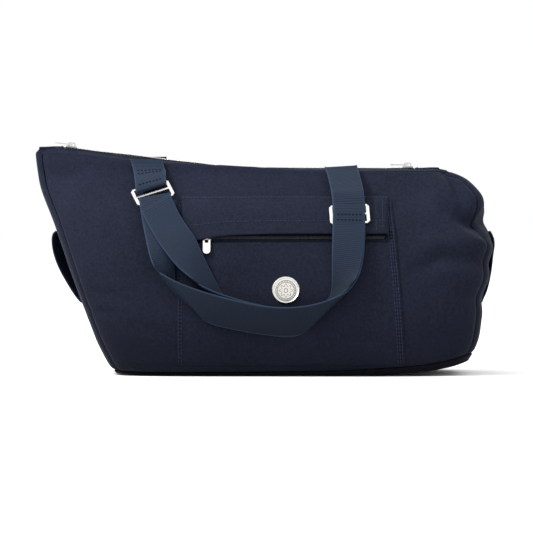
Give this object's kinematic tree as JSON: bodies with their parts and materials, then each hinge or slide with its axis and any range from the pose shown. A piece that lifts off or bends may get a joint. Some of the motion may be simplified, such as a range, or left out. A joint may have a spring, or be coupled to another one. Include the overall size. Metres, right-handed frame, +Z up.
{
  "type": "weekender bag",
  "caption": "Soft canvas holdall with a wedge-shaped body, open main zip, front patch pocket, adjustable webbing handles and end grab loops.",
  "frame": {"origin": "middle of the base's flat underside, below the pocket", "axes": "+X along the bag's length, to the right as seen from the front; -Y out of the front; +Z up"},
  "size_m": [0.5338, 0.2636, 0.2689],
  "materials": {
    "canvas": "dense navy cotton canvas, matt",
    "webbing": "ribbed navy webbing with a slight sheen",
    "zip_tape": "fine woven navy tape",
    "lining": "plain grey lining cloth",
    "nickel": "polished nickel plate",
    "enamel": "white enamel with a fine metal pattern",
    "board": "dark fibreboard"
  },
  "bodies": {
    "bag_shell": {"front_panel": "canvas", "back_panel": "canvas", "left_end_panel": "canvas", "right_end_panel": "canvas", "base_panel": "canvas", "front_zip_facing": "canvas", "back_zip_facing": "canvas", "zip_end_tab_left": "canvas", "zip_end_tab_right": "canvas", "front_pocket_panel": "canvas", "pocket_storm_band": "canvas", "main_zip_tape_front": "zip_tape", "main_zip_tape_back": "zip_tape", "pocket_zip_tape": "zip_tape", "main_zip_teeth_front": "nickel", "main_zip_teeth_back": "nickel", "pocket_zip_teeth": "nickel", "badge_bezel": "nickel", "badge_face": "enamel", "left_grab_handle": "webbing", "right_grab_handle": "webbing", "lining": "lining", "base_board": "board"},
    "front_handle": {"front_handle_strap": "webbing", "front_handle_tab": "webbing", "front_buckle_left": "nickel", "front_buckle_right": "nickel"},
    "back_handle": {"back_handle_strap": "webbing", "back_handle_tab": "webbing", "back_buckle_left": "nickel", "back_buckle_right": "nickel"},
    "main_slider_left": {"main_zip_slider_left": "nickel"},
    "main_pull_left": {"main_zip_pull_left": "nickel"},
    "main_slider_right": {"main_zip_slider_right": "nickel"},
    "main_pull_right": {"main_zip_pull_right": "nickel"},
    "pocket_slider": {"pocket_zip_slider": "nickel"},
    "pocket_pull": {"pocket_zip_pull": "nickel"}
  },
  "joints": [
    {"name": "front_handle_swing", "type": "hinge", "parent": "bag_shell", "child": "front_handle", "pos_m": [0.087, -0.03745, 0.241], "axis": [-0.9991, 0.0159, 0.0401], "range_deg": [0, 150]},
    {"name": "back_handle_swing", "type": "hinge", "parent": "bag_shell", "child": "back_handle", "pos_m": [0.087, 0.03745, 0.241], "axis": [0.9991, 0.0159, -0.0401], "range_deg": [0, 150]},
    {"name": "main_slider_left_slide", "type": "slide", "parent": "bag_shell", "child": "main_slider_left", "axis": [0.9927, 0, -0.1203], "range_m": [0, 0.177]},
    {"name": "main_pull_left_flip", "type": "hinge", "parent": "main_slider_left", "child": "main_pull_left", "pos_m": [-0.22499, 0, 0.26576], "axis": [0, 1, 0], "range_deg": [0, 150]},
    {"name": "main_slider_right_slide", "type": "slide", "parent": "bag_shell", "child": "main_slider_right", "axis": [-1, 0, 0.0024], "range_m": [0, 0.186]},
    {"name": "main_pull_right_flip", "type": "hinge", "parent": "main_slider_right", "child": "main_pull_right", "pos_m": [0.16651, 0, 0.24222], "axis": [0, 1, 0], "range_deg": [0, 150]},
    {"name": "pocket_slider_slide", "type": "slide", "parent": "bag_shell", "child": "pocket_slider", "axis": [1, 0, 0], "range_m": [0, 0.2]},
    {"name": "pocket_pull_lift", "type": "hinge", "parent": "pocket_slider", "child": "pocket_pull", "pos_m": [-0.067, -0.09482, 0.15794], "axis": [-1, 0, 0], "range_deg": [0, 120]}
  ]
}
